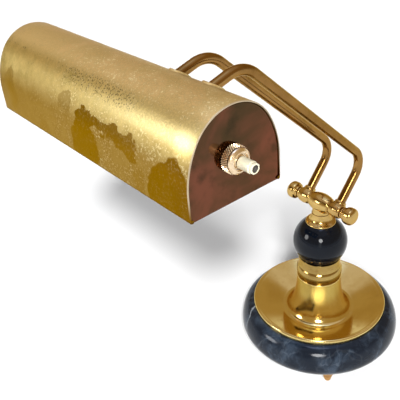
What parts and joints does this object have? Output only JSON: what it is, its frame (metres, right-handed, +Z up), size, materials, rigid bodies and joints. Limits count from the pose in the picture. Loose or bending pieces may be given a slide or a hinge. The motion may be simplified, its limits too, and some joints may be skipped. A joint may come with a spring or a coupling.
{
  "type": "desk lamp",
  "caption": "Swing-arm desk lamp: stone ring base with spun brass dish, black ball, friction hub, bent tube arms and a long arched shade with a turn switch.",
  "frame": {"origin": "on the table, under the middle of the lamp's bounding box", "axes": "+Z up; +X along the shade and the pivot towards the switch; -Y from the stem towards the shade, so +Y is the back where the cord goes in"},
  "size_m": [0.2788, 0.2644, 0.3224],
  "materials": {
    "stone": "polished blue-black stone with grey veins",
    "polished_brass": "polished, lightly toned",
    "aged_brass": "brushed and speckled with age",
    "mirror_brass": "mirror polished",
    "switch_brass": "satin, knurled",
    "pale_brass": "pale satin",
    "socket_brass": "satin",
    "black_glaze": "glossy black glaze",
    "steel": "zinc plated",
    "cast_iron": "raw casting, blackened",
    "black_plastic": "black moulding",
    "bulb_metal": "rolled thread, bright",
    "clear_glass": "clear"
  },
  "bodies": {
    "base": {"feet": "polished_brass", "base_plate": "steel", "ballast": "cast_iron", "stone_ring": "stone", "base_dish": "polished_brass", "cord_bushing": "black_plastic", "ball_cup": "polished_brass", "ball": "black_glaze", "ball_collar": "polished_brass", "stem_pipe": "steel", "pipe_washer": "steel", "pipe_nut": "steel", "hub": "polished_brass", "pivot_shaft": "steel", "shaft_lock_screw": "steel", "friction_washers": "steel", "left_bead": "polished_brass", "right_bead": "polished_brass"},
    "arm": {"left_sleeve": "polished_brass", "right_sleeve": "polished_brass", "left_arm": "polished_brass", "right_arm": "polished_brass", "arm_saddles": "aged_brass", "arm_bridge": "steel", "arm_tip_nuts": "steel", "shade": "aged_brass", "left_end_cap": "mirror_brass", "right_end_cap": "mirror_brass", "socket_bracket": "steel", "socket_nipple": "socket_brass", "socket_cap": "socket_brass", "socket_shell": "socket_brass", "socket_liner": "black_plastic", "socket_thread": "socket_brass", "socket_contact": "socket_brass", "bulb_base": "bulb_metal", "bulb_glass": "clear_glass", "bulb_mount": "clear_glass", "switch_body": "black_plastic", "switch_bushing": "switch_brass", "switch_nut": "switch_brass"},
    "left_thumb_nut": {"left_thumb_nut": "polished_brass"},
    "right_thumb_nut": {"right_thumb_nut": "polished_brass"},
    "switch_knob": {"switch_knob": "pale_brass", "switch_shaft": "steel"}
  },
  "joints": [
    {"name": "arm_tilt", "type": "hinge", "parent": "base", "child": "arm", "pos_m": [0.06005, 0.05621, 0.15753], "axis": [1, 0, 0], "range_deg": [-45, 35]},
    {"name": "left_thumb_nut_turn", "type": "hinge", "parent": "base", "child": "left_thumb_nut", "pos_m": [0.0339, 0.05621, 0.15753], "axis": [1, 0, 0], "continuous": true},
    {"name": "right_thumb_nut_turn", "type": "hinge", "parent": "base", "child": "right_thumb_nut", "pos_m": [0.0862, 0.05621, 0.15753], "axis": [1, 0, 0], "continuous": true},
    {"name": "switch_turn", "type": "hinge", "parent": "arm", "child": "switch_knob", "pos_m": [0.12745, -0.09671, 0.2868], "axis": [1, 0, 0], "continuous": true}
  ]
}
